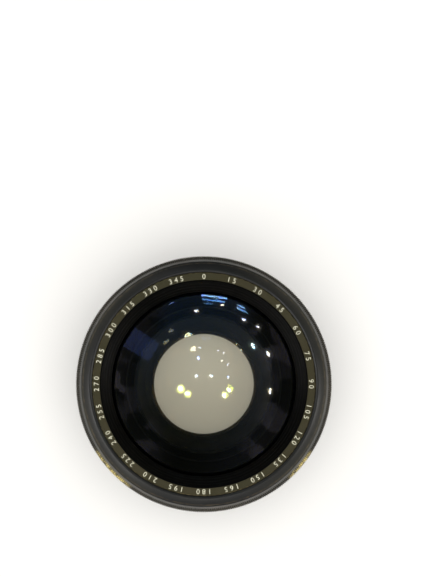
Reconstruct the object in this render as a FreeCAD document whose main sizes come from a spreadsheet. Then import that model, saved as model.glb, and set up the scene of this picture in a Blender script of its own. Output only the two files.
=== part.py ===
import FreeCAD, Part
import math
import os

import Sketcher

# Wide angle converter lens, in millimetres. The optical axis is Z, the front of the lens faces +Z,
# and the origin is the middle of the rear face, on which the lens stands.

SIZES = [
    # Clearances: round fits of glass and thread, spherical and end faces
    ("glass_gap", 0.05),
    ("thread_gap", 0.05),
    ("seat_gap", 0.05),
    ("end_gap", 0.3),
    # Mount ring
    ("mount_thread_radius", 29.0),
    ("mount_thread_length", 4.5),
    ("mount_thread_chamfer", 0.4),
    ("mount_thread_wall", 2.5),
    ("relief_width", 0.6),
    ("relief_depth", 0.6),
    ("relief_set_in", 0.4),
    ("flange_step", 0.8),
    ("flange_thickness", 2.5),
    ("flange_chamfer", 0.4),
    ("spigot_wall", 1.9),
    ("spigot_length", 5.2),
    ("screw_groove_depth", 0.5),
    # Main barrel
    ("barrel_length", 39.5),
    ("barrel_rear_wall", 2.9),
    ("barrel_rear_land", 8.0),
    ("barrel_edge", 0.5),
    ("barrel_wall", 2.0),
    ("barrel_front_wall", 1.05),
    ("rear_seat_depth", 7.2),
    ("rear_thread_length", 4.0),
    ("land_groove_depth", 0.5),
    ("land_groove_width", 0.8),
    ("collar_rise", 3.0),
    ("collar_height", 1.8),
    ("collar_step", 1.0),
    # Grip ring
    ("grip_wall", 4.0),
    ("grip_height", 13.3),
    ("grip_chamfer", 1.2),
    ("band_gap_depth", 0.9),
    ("band_gap_width", 2.8),
    ("flute_count", 180),
    ("flute_depth", 0.45),
    ("flute_width", 1.0),
    # Bezel and name ring
    ("bezel_overhang", 1.5),
    ("bezel_height", 11.5),
    ("bezel_side_height", 6.6),
    ("bezel_shoulder_curve", 8.0),
    ("bezel_undercut", 0.5),
    ("rim_width", 0.95),
    ("rim_chamfer", 0.5),
    ("skirt_wall", 1.45),
    ("skirt_length", 6.3),
    ("name_ring_width", 2.8),
    ("name_ring_height", 3.4),
    ("name_ring_recess", 0.5),
    ("name_ring_chamfer", 0.3),
    # Front glass
    ("dome_rise", 2.3),
    ("dome_thickness", 4.5),
    ("dome_front_curve", 80.0),
    ("dome_rear_curve", 39.0),
    ("dome_radius", 37.0),
    ("dome_rear_clear", 30.0),
    ("second_thickness", 2.5),
    ("second_front_curve", 300.0),
    ("second_rear_curve", 220.0),
    ("second_step", 4.5),
    ("second_front_land", 2.0),
    ("second_rear_land", 3.0),
    ("front_spacer_thickness", 1.6),
    # Front cell, its shim and its retaining ring
    ("front_cell_wall", 1.8),
    ("front_cell_thread_wall", 1.85),
    ("front_lip_thickness", 1.6),
    ("shim_thickness", 0.3),
    ("shim_width", 1.3),
    ("retaining_thread_step", 1.5),
    ("retaining_reach", 3.5),
    ("retaining_edge", 0.4),
    ("retaining_slot_width", 2.0),
    ("retaining_slot_depth", 0.8),
    # Rear glass
    ("rear_glass_radius", 27.6),
    ("rear_land", 1.1),
    ("crown_edge", 1.75),
    ("crown_front_curve", 110.0),
    ("crown_rear_curve", 92.0),
    ("flint_thickness", 2.5),
    ("flint_rear_curve", 260.0),
    ("rear_air_gap", 0.8),
    ("single_thickness", 3.0),
    ("single_front_curve", 260.0),
    # Rear cell and its retaining ring
    ("rear_cell_wall", 2.4),
    ("rear_cell_flange", 1.6),
    ("rear_lip_thickness", 1.4),
    ("rear_cell_overhang", 0.5),
    ("rear_ring_thread_step", 1.0),
    ("rear_ring_width", 2.0),
    ("rear_ring_thickness", 1.9),
    ("rear_slot_width", 1.6),
    ("rear_slot_depth", 0.8),
    # Baffle tube
    ("baffle_step", 2.1),
    ("baffle_wall", 1.0),
    ("baffle_flange", 1.0),
    ("ridge_depth", 0.5),
    ("ridge_count", 4),
    # Grub screws
    ("screw_radius", 1.0),
    ("screw_gap", 0.05),
    ("screw_sink", 0.4),
    ("screw_slot_width", 0.4),
    ("screw_slot_depth", 0.5),
    ("screw_count", 3),
    # How far a cutting outline runs on past the surface that it opens
    ("overrun", 1.0),
]


def sag(curve, reach):
    """How far a sphere falls away from its apex at the distance reach from the axis."""
    return f"({curve} - sqrt({curve}^2 - ({reach})^2))"


# Heights along the axis, each worked out from the sizes and from the heights before it.
HEIGHTS = [
    ("barrel_rear", "Sizes.mount_thread_length + Sizes.flange_thickness"),
    ("spigot_front", "barrel_rear + Sizes.spigot_length"),
    ("mount_screws", "barrel_rear + Sizes.spigot_length / 2"),
    ("rear_seat", "barrel_rear + Sizes.rear_seat_depth"),
    ("taper_rear", "barrel_rear + Sizes.barrel_rear_land"),
    ("barrel_front", "barrel_rear + Sizes.barrel_length"),
    ("grip_rear", "barrel_front - Sizes.grip_height"),
    ("grip_middle", "barrel_front - Sizes.grip_height / 2"),
    ("collar_rear", "grip_rear - Sizes.collar_height"),
    ("skirt_rear", "barrel_front - Sizes.skirt_length"),
    ("front_shoulder", "skirt_rear - Sizes.end_gap"),
    ("front_rim", "barrel_front + Sizes.bezel_height"),
    ("name_ring_front", "front_rim - Sizes.name_ring_recess"),
    ("name_ring_rear", "name_ring_front - Sizes.name_ring_height"),
    # Rear glass, from the back to the front
    ("rear_cell_rear", "barrel_rear + Sizes.end_gap"),
    ("single_rear", "rear_cell_rear + Sizes.rear_ring_thickness"),
    ("single_front", "single_rear + Sizes.single_thickness"),
    ("flint_rear", "single_front + Sizes.rear_air_gap"),
    ("cement", "flint_rear + Sizes.flint_thickness"),
    ("crown_edge_rear", "cement + " + sag("Sizes.crown_rear_curve", "Sizes.rear_glass_radius")),
    ("crown_edge_front", "crown_edge_rear + Sizes.crown_edge"),
    ("crown_front", "crown_edge_front + " + sag("Sizes.crown_front_curve", "Sizes.rear_glass_radius")),
    ("rear_cell_front", "crown_front + Sizes.rear_cell_overhang"),
    # Front glass, from the front to the back
    ("dome_front", "front_rim + Sizes.dome_rise"),
    ("dome_rear", "dome_front - Sizes.dome_thickness"),
    ("dome_seat", "dome_rear - " + sag("Sizes.dome_rear_curve", "Sizes.dome_rear_clear")),
    ("second_rim", "dome_seat - Sizes.front_spacer_thickness"),
    ("second_front", "second_rim - " + sag("Sizes.second_front_curve", "Radii.second_front_clear")),
    ("second_rear", "second_front - Sizes.second_thickness"),
    ("second_seat", "second_rear - " + sag("Sizes.second_rear_curve", "Radii.second_rear_clear")),
    ("front_cell_rear", "second_seat - Sizes.front_lip_thickness"),
    ("baffle_front", "front_cell_rear - Sizes.seat_gap"),
]

# Radii, each worked out from the glass outwards, or from another piece and a clearance.
RADII = [
    # Rear glass, its cell, the mount ring's spigot and the barrel round it
    ("rear_clear", "Sizes.rear_glass_radius - Sizes.rear_land"),
    ("rear_bore", "Sizes.rear_glass_radius + Sizes.glass_gap"),
    ("rear_ring_thread", "Sizes.rear_glass_radius + Sizes.rear_ring_thread_step"),
    ("rear_ring_inner", "rear_ring_thread - Sizes.rear_ring_width"),
    ("rear_ring_bore", "rear_ring_thread + Sizes.thread_gap"),
    ("baffle", "rear_clear + Sizes.baffle_step"),
    ("rear_cell", "rear_bore + Sizes.rear_cell_wall"),
    ("rear_thread_bore", "rear_cell + Sizes.thread_gap"),
    ("spigot_inner", "rear_cell + Sizes.end_gap"),
    ("spigot_outer", "spigot_inner + Sizes.spigot_wall"),
    ("spigot_bore", "spigot_outer + Sizes.thread_gap"),
    ("screw_groove", "spigot_outer - Sizes.screw_groove_depth"),
    ("barrel_rear", "spigot_bore + Sizes.barrel_rear_wall"),
    ("mount_bore", "Sizes.mount_thread_radius - Sizes.mount_thread_wall"),
    ("flange", "barrel_rear - Sizes.flange_step"),
    # Front glass, its cell, the name ring, the bezel and the grip ring
    ("second", "Sizes.dome_radius - Sizes.second_step"),
    ("second_front_clear", "second - Sizes.second_front_land"),
    ("second_rear_clear", "second - Sizes.second_rear_land"),
    ("second_bore", "second + Sizes.glass_gap"),
    ("dome_bore", "Sizes.dome_radius + Sizes.glass_gap"),
    ("front_cell_thread", "dome_bore + Sizes.front_cell_thread_wall"),
    ("front_thread_bore", "front_cell_thread + Sizes.thread_gap"),
    ("retaining_inner", "Sizes.dome_radius - Sizes.retaining_reach"),
    ("retaining_thread", "dome_bore + Sizes.retaining_thread_step"),
    ("retaining_bore", "retaining_thread + Sizes.thread_gap"),
    ("name_ring_outer", "retaining_bore + Sizes.front_cell_wall"),
    ("name_ring_inner", "name_ring_outer - Sizes.name_ring_width"),
    ("bezel_bore", "name_ring_outer + Sizes.thread_gap"),
    ("rim", "bezel_bore + Sizes.rim_width"),
    ("skirt", "bezel_bore + Sizes.skirt_wall"),
    ("skirt_bore", "skirt + Sizes.thread_gap"),
    ("grip_seat", "skirt_bore + Sizes.barrel_front_wall"),
    ("bezel", "grip_seat + Sizes.bezel_overhang"),
    ("collar", "grip_seat + Sizes.collar_rise"),
    ("grip_bore", "grip_seat + Sizes.glass_gap"),
    ("grip", "grip_seat + Sizes.grip_wall"),
    ("grip_groove", "grip - Sizes.band_gap_depth"),
    ("screw_hole", "Sizes.screw_radius + Sizes.screw_gap"),
]

# A sketch numbers the two ends of an edge 1 and 2.
OTHER_END = {1: 2, 2: 1}

doc = FreeCAD.newDocument("wide_angle_converter")
pieces = []


def fill_sheet(name, rows, prefix=""):
    sheet = doc.addObject("Spreadsheet::Sheet", name)
    for row, (alias, content) in enumerate(rows, start=1):
        sheet.set(f"A{row}", alias)
        sheet.set(f"B{row}", prefix + str(content))
        sheet.setAlias(f"B{row}", alias)
    doc.recompute()
    return sheet


fill_sheet("Sizes", SIZES)
fill_sheet("Heights", HEIGHTS, prefix="=")
fill_sheet("Radii", RADII, prefix="=")
scratch_cell = fill_sheet("Scratch", [("result", 0)])


def value(expression):
    """What an expression comes to, for the first place of a point before its dimensions hold it."""
    scratch_cell.set("result", "=" + expression)
    scratch_cell.recompute()
    return float(scratch_cell.get("result"))


def origin_feature(body, role):
    return next(feature for feature in body.Origin.OriginFeatures if feature.Role == role)


def new_body(label):
    body = doc.addObject("PartDesign::Body", label)
    body.Label = label
    pieces.append(body)
    return body


def new_sketch(body, name, role, offset=None):
    """Sketch on one of the body's origin planes, or at a distance in front of it."""
    sketch = body.newObject("Sketcher::SketchObject", name)
    sketch.AttachmentSupport = (origin_feature(body, role), [""])
    sketch.MapMode = "FlatFace"
    if offset:
        sketch.setExpression("AttachmentOffset.Base.z", offset)
    return sketch


def dimension(sketch, kind, points, expression):
    index = sketch.addConstraint(Sketcher.Constraint(kind, *points, value(expression)))
    sketch.setExpression(f"Constraints[{index}]", expression)


def arc_between(start, end, radius, centre_above):
    """Arc from start to end with its centre above or below it, and which of its ends is the start."""
    chord = end - start
    across = FreeCAD.Vector(-chord.y, chord.x, 0).normalize()
    if (across.y > 0) != centre_above:
        across = -across
    centre = (start + end) * 0.5 + across * math.sqrt(radius**2 - (chord.Length / 2) ** 2)
    first = math.atan2(start.y - centre.y, start.x - centre.x)
    last = math.atan2(end.y - centre.y, end.x - centre.x)
    circle = Part.Circle(centre, FreeCAD.Vector(0, 0, 1), radius)
    if (last - first) % (2 * math.pi) < math.pi:
        return Part.ArcOfCircle(circle, first, last), 1
    return Part.ArcOfCircle(circle, last, first), 2


def runs(keys, straight):
    """Neighbouring corners, round the outline, that share a key and are joined by straight edges."""
    count = len(keys)
    joined = [straight[k - 1] and keys[k - 1] == keys[k] for k in range(count)]
    groups = []
    for first in range(count):
        if joined[first]:
            continue
        group = [first]
        while joined[(group[-1] + 1) % count]:
            group.append((group[-1] + 1) % count)
        groups.append(group)
    return groups


def constrain(sketch, keys, straight, starts, kind, edge_kind, axis, hung):
    """Gives each run of corners one dimension from the origin, and ties its edges level or upright."""
    for group in runs(keys, straight):
        for corner in group[:-1]:
            sketch.addConstraint(Sketcher.Constraint(edge_kind, corner))
        corner = group[0]
        if hung.intersection(group):
            continue
        if keys[corner] == "0":
            sketch.addConstraint(Sketcher.Constraint("PointOnObject", corner, starts[corner], axis))
        else:
            dimension(sketch, kind, (-1, 1, corner, starts[corner]), keys[corner])


def draw_outline(sketch, corners, curves):
    """Closed outline of straight edges and arcs.

    corners are (radius, height) expressions. curves gives, for the corner that an arc leaves, the
    arc's radius, whether its centre lies above it, and whether that centre is on the axis. Such a
    centred arc sets the height of its outer end.
    """
    count = len(corners)
    points = [FreeCAD.Vector(value(radius), value(height), 0) for radius, height in corners]
    starts = []
    for number, start in enumerate(points):
        end = points[(number + 1) % count]
        if number in curves:
            radius, centre_above, _ = curves[number]
            edge, first = arc_between(start, end, value(radius), centre_above)
        else:
            edge, first = Part.LineSegment(start, end), 1
        sketch.addGeometry(edge)
        starts.append(first)
    for number in range(count):
        after = (number + 1) % count
        ends = (number, OTHER_END[starts[number]], after, starts[after])
        sketch.addConstraint(Sketcher.Constraint("Coincident", *ends))
    hung = set()
    for number, (radius, _, centred) in curves.items():
        dimension(sketch, "Radius", (number,), radius)
        if centred:
            sketch.addConstraint(Sketcher.Constraint("PointOnObject", number, 3, -2))
            hung.add(max(number, (number + 1) % count, key=lambda corner: points[corner].x))
    straight = [number not in curves for number in range(count)]
    radii = [radius for radius, _ in corners]
    heights = [height for _, height in corners]
    constrain(sketch, radii, straight, starts, "DistanceX", "Vertical", -2, set())
    constrain(sketch, heights, straight, starts, "DistanceY", "Horizontal", -1, hung)


def turned(label, corners, curves=None):
    """Body turned about the optical axis from one outline."""
    body = new_body(label)
    sketch = new_sketch(body, label + "_outline", "XZ_Plane")
    draw_outline(sketch, corners, curves or {})
    turning = body.newObject("PartDesign::Revolution", label + "_turning")
    turning.Profile = sketch
    turning.ReferenceAxis = (sketch, ["V_Axis"])
    turning.Angle = 360
    body.Tip = turning
    return body


def element(label, front, rear, rim, front_face, rear_face, front_clear=None, rear_clear=None):
    """Lens element between the apexes front and rear.

    Each face is (radius, centre above), or None where it is flat. A clear radius is where a hollow
    face ends in a flat land that runs out to the rim.
    """
    def edge_height(apex, face, reach):
        if face is None:
            return apex
        return f"{apex} {'+' if face[1] else '-'} {sag(face[0], reach)}"

    front_edge = edge_height(front, front_face, front_clear or rim)
    rear_edge = edge_height(rear, rear_face, rear_clear or rim)
    corners = [("0", front), (front_clear or rim, front_edge)]
    if front_clear:
        corners.append((rim, front_edge))
    corners.append((rim, rear_edge))
    if rear_clear:
        corners.append((rear_clear, rear_edge))
    curves = {}
    if front_face:
        curves[0] = (*front_face, True)
    if rear_face:
        curves[len(corners) - 1] = (*rear_face, True)
    corners.append(("0", rear))
    return turned(label, corners, curves)


def cut(body, name, sketch, length, forwards):
    """Pocket along or against the sketch's normal, which has to take something away."""
    doc.recompute()
    before = body.Shape.Volume
    pocket = body.newObject("PartDesign::Pocket", name)
    pocket.Profile = sketch
    pocket.Type = "Length"
    pocket.setExpression("Length", length)
    pocket.Reversed = forwards
    body.Tip = pocket
    doc.recompute()
    if not body.Shape.Volume < before:
        raise RuntimeError(f"{name} cuts nothing from {body.Label}")
    return pocket


def repeat(body, name, features, count):
    """The features again and again, evenly about the optical axis."""
    pattern = body.newObject("PartDesign::PolarPattern", name)
    pattern.Originals = features
    pattern.Axis = (origin_feature(body, "Z_Axis"), [""])
    pattern.Angle = 360
    pattern.setExpression("Occurrences", count)
    body.Tip = pattern
    doc.recompute()
    return pattern


def draw_bar(sketch, left, right, width, middle="0"):
    """Rectangle from left to right, with its middle line at the height middle."""
    low, high = value(f"{middle} - {width} / 2"), value(f"{middle} + {width} / 2")
    ends = [(value(left), low), (value(right), low), (value(right), high), (value(left), high)]
    corners = [FreeCAD.Vector(x, y, 0) for x, y in ends]
    for edge in range(4):
        sketch.addGeometry(Part.LineSegment(corners[edge], corners[(edge + 1) % 4]))
    for edge in range(4):
        sketch.addConstraint(Sketcher.Constraint("Coincident", edge, 2, (edge + 1) % 4, 1))
        sketch.addConstraint(Sketcher.Constraint(("Horizontal", "Vertical")[edge % 2], edge))
    dimension(sketch, "DistanceY", (-1, 1, 0, 1), f"{middle} - {width} / 2")
    dimension(sketch, "DistanceY", (1, 1, 1, 2), width)
    dimension(sketch, "DistanceX", (-1, 1, 0, 1), left)
    dimension(sketch, "DistanceX", (0, 1, 0, 2), f"{right} - ({left})")


def draw_circle(sketch, height, radius):
    """Circle with its centre on the sketch's upright axis."""
    centre = FreeCAD.Vector(0, value(height), 0)
    sketch.addGeometry(Part.Circle(centre, FreeCAD.Vector(0, 0, 1), value(radius)))
    sketch.addConstraint(Sketcher.Constraint("PointOnObject", 0, 3, -2))
    dimension(sketch, "DistanceY", (-1, 1, 0, 3), height)
    dimension(sketch, "Radius", (0,), radius)


def drill_round(body, height, depth, forwards):
    """Tapped holes for grub screws, evenly about the axis."""
    hole = new_sketch(body, body.Label + "_hole_outline", "YZ_Plane")
    draw_circle(hole, height, "Radii.screw_hole")
    first = cut(body, body.Label + "_hole", hole, depth, forwards)
    repeat(body, body.Label + "_holes", [first], "Sizes.screw_count")


# Mount ring: male thread, shoulder flange with a groove in its corner, and a spigot with a channel for
# the grub screws' ends.
def mount_ring():
    relief = "Sizes.mount_thread_radius - Sizes.relief_depth"
    shoulder = "Sizes.mount_thread_radius + Sizes.relief_width"
    thread_front = "Sizes.mount_thread_length - Sizes.relief_width"
    groove_front = "Sizes.mount_thread_length + Sizes.relief_set_in"
    channel_rear = "Heights.mount_screws - Radii.screw_hole"
    channel_front = "Heights.mount_screws + Radii.screw_hole"
    turned("mount_ring", [
        ("Radii.mount_bore", "0"),
        ("Sizes.mount_thread_radius - Sizes.mount_thread_chamfer", "0"),
        ("Sizes.mount_thread_radius", "Sizes.mount_thread_chamfer"),
        ("Sizes.mount_thread_radius", thread_front),
        (relief, thread_front),
        (relief, groove_front),
        (shoulder, groove_front),
        (shoulder, "Sizes.mount_thread_length"),
        ("Radii.flange - Sizes.flange_chamfer", "Sizes.mount_thread_length"),
        ("Radii.flange", "Sizes.mount_thread_length + Sizes.flange_chamfer"),
        ("Radii.flange", "Heights.barrel_rear"),
        ("Radii.spigot_outer", "Heights.barrel_rear"),
        ("Radii.spigot_outer", channel_rear),
        ("Radii.screw_groove", channel_rear),
        ("Radii.screw_groove", channel_front),
        ("Radii.spigot_outer", channel_front),
        ("Radii.spigot_outer", "Heights.spigot_front"),
        ("Radii.spigot_inner", "Heights.spigot_front"),
        ("Radii.spigot_inner", "Heights.barrel_rear"),
        ("Radii.mount_bore", "Heights.barrel_rear"),
    ])


# Rear cell: a cup that holds the rear glass against its front lip. Its flange sets its place.
def rear_cell():
    flange = "Radii.spigot_outer - Sizes.end_gap"
    flange_rear = "Heights.rear_seat - Sizes.rear_cell_flange"
    crown_fall = sag("Sizes.crown_front_curve", "Radii.rear_clear")
    lip_rear = f"Heights.crown_front + Sizes.seat_gap - {crown_fall}"
    lip_front = f"{lip_rear} + Sizes.rear_lip_thickness"
    ring_step = "Heights.single_rear + Sizes.end_gap"
    turned("rear_cell", [
        ("Radii.rear_ring_bore", "Heights.rear_cell_rear"),
        ("Radii.rear_cell", "Heights.rear_cell_rear"),
        ("Radii.rear_cell", flange_rear),
        (flange, flange_rear),
        (flange, "Heights.rear_seat"),
        ("Radii.rear_cell", "Heights.rear_seat"),
        ("Radii.rear_cell", "Heights.rear_cell_front"),
        ("Radii.baffle", "Heights.rear_cell_front"),
        ("Radii.rear_clear", lip_front),
        ("Radii.rear_clear", lip_rear),
        ("Radii.rear_bore", lip_rear),
        ("Radii.rear_bore", ring_step),
        ("Radii.rear_ring_bore", ring_step),
    ])


# Rear glass: a cemented doublet and a single element behind it.
def rear_glass():
    rim = "Sizes.rear_glass_radius"
    cement = ("Sizes.crown_rear_curve", True)
    element("rear_crown_element", "Heights.crown_front", "Heights.cement", rim,
            front_face=("Sizes.crown_front_curve", False), rear_face=cement)
    element("rear_flint_element", "Heights.cement", "Heights.flint_rear", rim,
            front_face=cement, rear_face=("Sizes.flint_rear_curve", True))
    element("rear_single_element", "Heights.single_front", "Heights.single_rear", rim,
            front_face=("Sizes.single_front_curve", False), rear_face=None)


# Rear spacer: its two end faces follow the slope of the glass on each side.
def rear_spacer():
    inner = "Radii.rear_clear"
    outer = "Sizes.rear_glass_radius"

    def front(reach):
        return f"Heights.flint_rear + {sag('Sizes.flint_rear_curve', reach)} - Sizes.seat_gap"

    def rear(reach):
        return f"Heights.single_front - {sag('Sizes.single_front_curve', reach)} + Sizes.seat_gap"

    turned("rear_spacer", [
        (inner, rear(inner)),
        (outer, rear(outer)),
        (outer, front(outer)),
        (inner, front(inner)),
    ])


# Rear retaining ring, with two slots across its back for a spanner.
def rear_retaining_ring():
    body = turned("rear_retaining_ring", [
        ("Radii.rear_ring_inner", "Heights.rear_cell_rear"),
        ("Radii.rear_ring_thread", "Heights.rear_cell_rear"),
        ("Radii.rear_ring_thread", "Heights.single_rear"),
        ("Radii.rear_ring_inner", "Heights.single_rear"),
    ])
    slots = new_sketch(body, "rear_slots_outline", "XY_Plane", "Heights.rear_cell_rear")
    reach = "(Radii.rear_ring_thread + Sizes.overrun)"
    draw_bar(slots, f"-1 * {reach}", reach, "Sizes.rear_slot_width")
    cut(body, "rear_slots", slots, "Sizes.rear_slot_depth", True)


# Main barrel: a flared housing, with the rear cell's seat at one end and the front cell's at the other.
def main_barrel():
    groove = "Radii.barrel_rear - Sizes.land_groove_depth"
    groove_rear = "Heights.taper_rear - 2 * Sizes.land_groove_width"
    groove_front = "Heights.taper_rear - Sizes.land_groove_width"
    taper_front = "Radii.collar - Sizes.collar_step"
    cavity_rear = "Heights.rear_seat + Sizes.rear_thread_length"
    cavity_front = "Heights.baffle_front - Sizes.baffle_flange - Sizes.end_gap"
    cavity_radius = "Radii.barrel_rear - Sizes.barrel_wall"
    body = turned("main_barrel", [
        ("Radii.spigot_bore", "Heights.barrel_rear"),
        ("Radii.barrel_rear - Sizes.barrel_edge", "Heights.barrel_rear"),
        ("Radii.barrel_rear", "Heights.barrel_rear + Sizes.barrel_edge"),
        ("Radii.barrel_rear", groove_rear),
        (groove, groove_rear),
        (groove, groove_front),
        ("Radii.barrel_rear", groove_front),
        ("Radii.barrel_rear", "Heights.taper_rear"),
        (taper_front, "Heights.collar_rear"),
        ("Radii.collar", "Heights.collar_rear"),
        ("Radii.collar", "Heights.grip_rear"),
        ("Radii.grip_seat", "Heights.grip_rear"),
        ("Radii.grip_seat", "Heights.barrel_front"),
        ("Radii.skirt_bore", "Heights.barrel_front"),
        ("Radii.skirt_bore", "Heights.front_shoulder"),
        ("Radii.front_thread_bore", "Heights.front_shoulder"),
        ("Radii.front_thread_bore", cavity_front),
        (cavity_radius, cavity_rear),
        ("Radii.rear_thread_bore", cavity_rear),
        ("Radii.rear_thread_bore", "Heights.rear_seat"),
        ("Radii.spigot_bore", "Heights.rear_seat"),
    ])
    drill_round(body, "Heights.mount_screws", "Radii.barrel_rear + Sizes.overrun", True)


# Baffle tube: blackened, with saw-tooth ridges inside that stop light from grazing along the wall.
def baffle_tube():
    count = int(value("Sizes.ridge_count"))
    pitch = "(Heights.baffle_front - Heights.rear_cell_front) / Sizes.ridge_count"
    valley = "Radii.baffle + Sizes.ridge_depth"
    outer = "Radii.baffle + Sizes.ridge_depth + Sizes.baffle_wall"
    flange = "Radii.front_thread_bore - Sizes.end_gap"
    flange_rear = "Heights.baffle_front - Sizes.baffle_flange"
    corners = [
        (outer, "Heights.rear_cell_front"),
        (outer, flange_rear),
        (flange, flange_rear),
        (flange, "Heights.baffle_front"),
    ]
    steps = [f"Heights.rear_cell_front + {ridge} * {pitch}" for ridge in range(1, count)]
    steps = ["Heights.rear_cell_front", *steps, "Heights.baffle_front"]
    for ridge in reversed(range(count)):
        corners += [(valley, steps[ridge + 1]), ("Radii.baffle", steps[ridge])]
    turned("baffle_tube", corners)


# Front cell: holds the two front elements, and stands on the barrel's shoulder through a shim.
def front_cell():
    flange_rear = "Heights.front_shoulder + Sizes.shim_thickness"
    spacer_step = "Heights.second_rim - Sizes.end_gap"
    dome_edge = f"Heights.dome_front - {sag('Sizes.dome_front_curve', 'Sizes.dome_radius')}"
    ring_step = f"{dome_edge} - Sizes.end_gap"
    turned("front_cell", [
        ("Radii.second_rear_clear", "Heights.front_cell_rear"),
        ("Radii.front_cell_thread", "Heights.front_cell_rear"),
        ("Radii.front_cell_thread", flange_rear),
        ("Radii.name_ring_outer", flange_rear),
        ("Radii.name_ring_outer", "Heights.name_ring_rear"),
        ("Radii.retaining_bore", "Heights.name_ring_rear"),
        ("Radii.retaining_bore", ring_step),
        ("Radii.dome_bore", ring_step),
        ("Radii.dome_bore", spacer_step),
        ("Radii.second_bore", spacer_step),
        ("Radii.second_bore", "Heights.second_seat"),
        ("Radii.second_rear_clear", "Heights.second_seat"),
    ])


# Spacing shim: sets the distance between the front glass and the rear glass.
def spacing_shim():
    outer = "Radii.front_thread_bore + Sizes.shim_width"
    front = "Heights.front_shoulder + Sizes.shim_thickness"
    turned("spacing_shim", [
        ("Radii.front_thread_bore", "Heights.front_shoulder"),
        (outer, "Heights.front_shoulder"),
        (outer, front),
        ("Radii.front_thread_bore", front),
    ])


# Front glass: a deep meniscus that bulges past the rim, and a weaker hollow element behind it.
def front_glass():
    element("front_element", "Heights.dome_front", "Heights.dome_rear", "Sizes.dome_radius",
            front_face=("Sizes.dome_front_curve", False), rear_face=("Sizes.dome_rear_curve", False),
            rear_clear="Sizes.dome_rear_clear")
    element("second_element", "Heights.second_front", "Heights.second_rear", "Radii.second",
            front_face=("Sizes.second_front_curve", True), rear_face=("Sizes.second_rear_curve", False),
            front_clear="Radii.second_front_clear", rear_clear="Radii.second_rear_clear")


# Front spacer: between the two front elements.
def front_spacer():
    turned("front_spacer", [
        ("Radii.second_front_clear", "Heights.second_rim"),
        ("Sizes.dome_radius", "Heights.second_rim"),
        ("Sizes.dome_radius", "Heights.dome_seat"),
        ("Radii.second_front_clear", "Heights.dome_seat"),
    ])


# Front retaining ring: a dished ring on the edge of the dome. Its spanner slots lie under the name ring.
def front_retaining_ring():
    def dome_height(reach):
        return f"Heights.dome_front - {sag('Sizes.dome_front_curve', reach)} + Sizes.seat_gap"

    rear = dome_height("Sizes.dome_radius")
    lip_rear = dome_height("Radii.retaining_inner")
    flange_front = "Heights.name_ring_rear - Sizes.end_gap"
    collar = "Radii.name_ring_inner - Sizes.thread_gap"
    body = turned("front_retaining_ring", [
        ("Radii.retaining_inner", lip_rear),
        ("Sizes.dome_radius", rear),
        ("Radii.retaining_thread", rear),
        ("Radii.retaining_thread", flange_front),
        (collar, flange_front),
        (collar, "Heights.name_ring_front"),
        (f"{collar} - Sizes.retaining_edge", "Heights.name_ring_front"),
        ("Radii.retaining_inner", f"{lip_rear} + Sizes.retaining_edge"),
    ])
    slot = new_sketch(body, "front_slot_outline", "XY_Plane", flange_front)
    draw_bar(slot, collar, "Radii.retaining_thread + Sizes.overrun", "Sizes.retaining_slot_width")
    first = cut(body, "front_slot", slot, "Sizes.retaining_slot_depth", False)
    repeat(body, "front_slots", [first], "2")


# Name ring: the flat ring round the glass, bare.
def name_ring():
    chamfer = "Sizes.name_ring_chamfer"
    turned("name_ring", [
        ("Radii.name_ring_inner", "Heights.name_ring_rear"),
        ("Radii.name_ring_outer", "Heights.name_ring_rear"),
        ("Radii.name_ring_outer", f"Heights.name_ring_front - {chamfer}"),
        (f"Radii.name_ring_outer - {chamfer}", "Heights.name_ring_front"),
        ("Radii.name_ring_inner", "Heights.name_ring_front"),
    ])


# Front bezel: rounded shoulder round the rim. Its skirt screws into the barrel and traps the grip ring.
def front_bezel():
    undercut = "Radii.bezel - Sizes.bezel_undercut"
    side_front = "Heights.barrel_front + Sizes.bezel_side_height"
    turned("front_bezel", [
        ("Radii.bezel_bore", "Heights.skirt_rear"),
        ("Radii.skirt", "Heights.skirt_rear"),
        ("Radii.skirt", "Heights.barrel_front"),
        (undercut, "Heights.barrel_front"),
        (undercut, "Heights.barrel_front + Sizes.bezel_undercut"),
        ("Radii.bezel", "Heights.barrel_front + Sizes.bezel_undercut"),
        ("Radii.bezel", side_front),
        ("Radii.rim", "Heights.front_rim"),
        ("Radii.bezel_bore + Sizes.rim_chamfer", "Heights.front_rim"),
        ("Radii.bezel_bore", "Heights.front_rim - Sizes.rim_chamfer"),
    ], curves={6: ("Sizes.bezel_shoulder_curve", False, False)})


# Grip ring: two knurled bands with a plain groove between them, which holds the grub screws.
def grip_ring():
    rear_edge = "Sizes.grip_chamfer / 2"
    groove_rear = "Heights.grip_middle - Sizes.band_gap_width / 2"
    groove_front = "Heights.grip_middle + Sizes.band_gap_width / 2"
    body = turned("grip_ring", [
        ("Radii.grip_bore", "Heights.grip_rear"),
        (f"Radii.grip - {rear_edge}", "Heights.grip_rear"),
        ("Radii.grip", f"Heights.grip_rear + {rear_edge}"),
        ("Radii.grip", groove_rear),
        ("Radii.grip_groove", groove_rear),
        ("Radii.grip_groove", groove_front),
        ("Radii.grip", groove_front),
        ("Radii.grip", "Heights.barrel_front - Sizes.grip_chamfer"),
        ("Radii.grip - Sizes.grip_chamfer", "Heights.barrel_front"),
        ("Radii.grip_bore", "Heights.barrel_front"),
    ])
    drill_round(body, "Heights.grip_middle", "Radii.grip + Sizes.overrun", False)
    flute = new_sketch(body, "flute_outline", "XY_Plane", "Heights.grip_rear")
    draw_flute(flute)
    first = cut(body, "flute", flute, "Sizes.grip_height", True)
    repeat(body, "flutes", [first], "Sizes.flute_count")


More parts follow.
